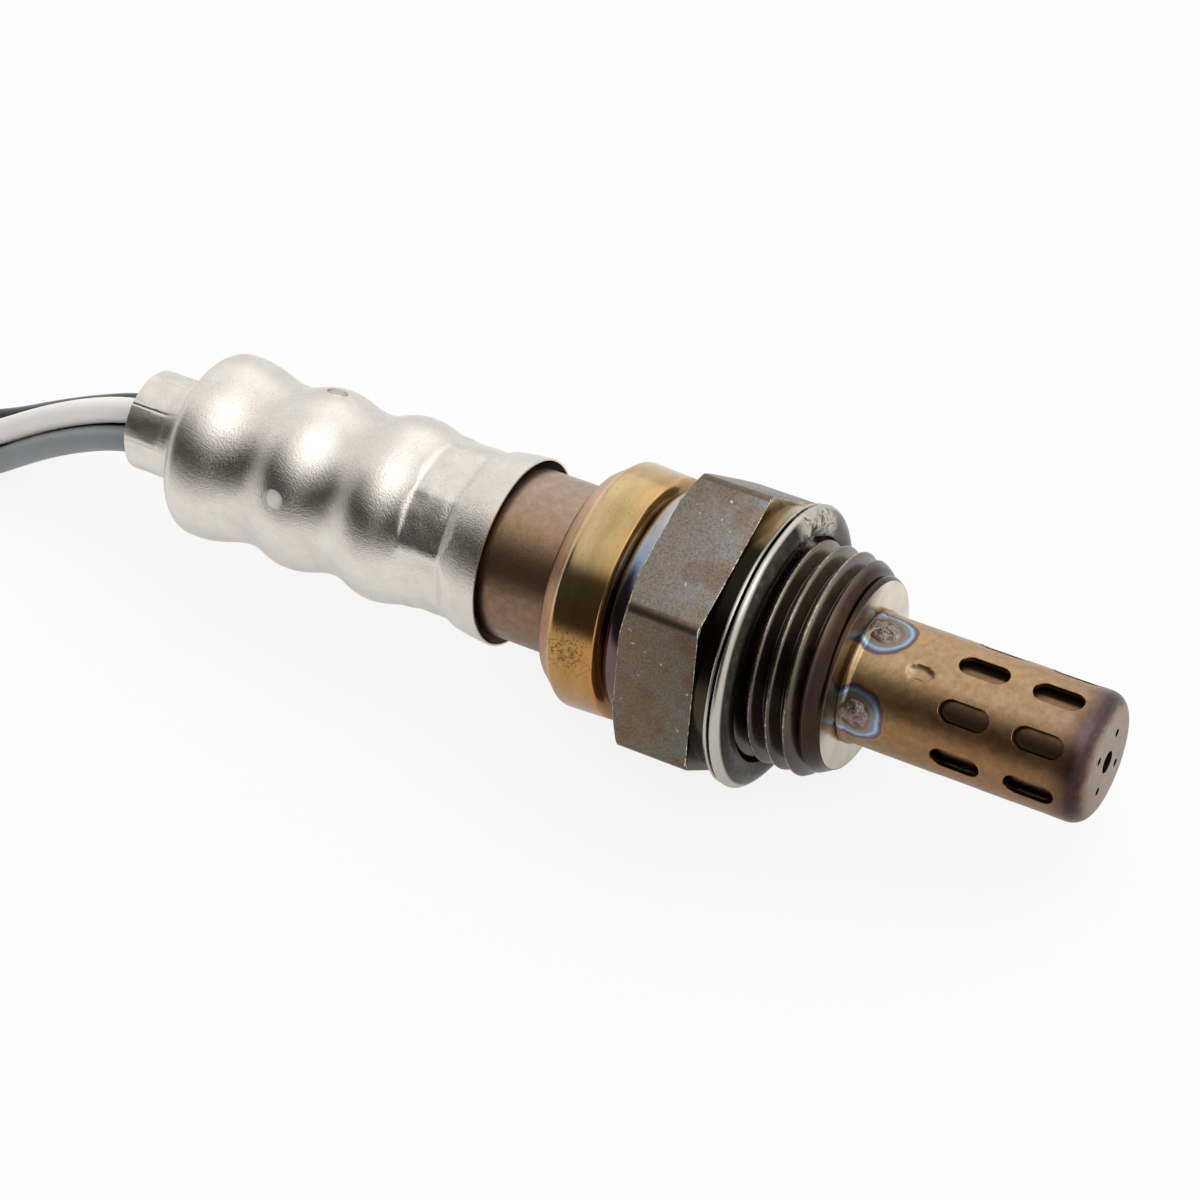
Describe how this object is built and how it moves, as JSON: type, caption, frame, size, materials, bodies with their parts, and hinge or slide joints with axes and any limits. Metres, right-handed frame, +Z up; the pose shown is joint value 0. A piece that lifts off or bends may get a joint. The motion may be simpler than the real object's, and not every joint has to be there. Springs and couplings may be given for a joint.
{
  "type": "oxygen sensor",
  "caption": "Heated exhaust oxygen sensor: slotted gas tube, threaded hexagon body with a crush gasket, ribbed steel sleeve and leads that end in a sealed plug.",
  "frame": {"origin": "on the sensor's axis, at the back end of the full thread, just in front of the gasket", "axes": "+X along the axis towards the gas-side tip, +Z up and square to a hexagon flat, with the sensor lying on its gasket rim"},
  "size_m": [0.2304, 0.0269, 0.0228],
  "materials": {
    "body_steel": "heat-tinted machined steel",
    "gasket_steel": "pressed and scuffed stainless steel",
    "tube_steel": "straw to brown heat-tinted stainless steel",
    "stem_steel": "satin, lightly browned stainless steel",
    "sleeve_steel": "satin drawn stainless steel",
    "seal_steel": "plain stamped steel",
    "element_ceramic": "fired zirconia",
    "alumina": "fired alumina",
    "talc": "pressed powder",
    "ptfe": "porous sintered strip",
    "grommet_rubber": "moulded high-temperature rubber",
    "contact_metal": "nickel-plated strip",
    "wire_white": "off-white insulation",
    "wire_grey": "grey insulation",
    "wire_black": "black insulation",
    "wire_bundle": "folded bundle of the same leads",
    "tie_vinyl": "matt vinyl strap",
    "plug_plastic": "fine-grained moulded plastic",
    "plug_cover_plastic": "moulded plastic",
    "plug_lock_plastic": "moulded plastic",
    "plug_rubber": "silicone rubber",
    "pin_metal": "tinned brass"
  },
  "bodies": {
    "root": {"body_shell": "body_steel", "crush_gasket": "gasket_steel", "outer_protection_tube": "tube_steel", "inner_protection_tube": "tube_steel", "sensing_element": "element_ceramic", "heater_rod": "alumina", "packing_ring": "seal_steel", "talc_seal": "talc", "ceramic_bushing": "alumina", "pressure_ring": "seal_steel", "inner_sleeve_tube": "stem_steel", "outer_sleeve": "sleeve_steel", "breather_filter": "ptfe", "wire_grommet": "grommet_rubber", "contact_holder": "alumina", "holder_clip": "seal_steel", "lead_hank": "wire_bundle", "hank_tie": "tie_vinyl", "plug_housing": "plug_plastic", "plug_rear_cover": "plug_cover_plastic", "plug_wire_seal": "plug_rubber", "plug_terminal_lock": "plug_lock_plastic", "contact_white": "contact_metal", "lead_white": "wire_white", "tail_white": "wire_white", "plug_pin_white": "pin_metal", "contact_grey": "contact_metal", "lead_grey": "wire_grey", "tail_grey": "wire_grey", "plug_pin_grey": "pin_metal", "contact_black_1": "contact_metal", "lead_black_1": "wire_black", "tail_black_1": "wire_black", "plug_pin_black_1": "pin_metal", "contact_black_2": "contact_metal", "lead_black_2": "wire_black", "tail_black_2": "wire_black", "plug_pin_black_2": "pin_metal"}
  },
  "joints": []
}
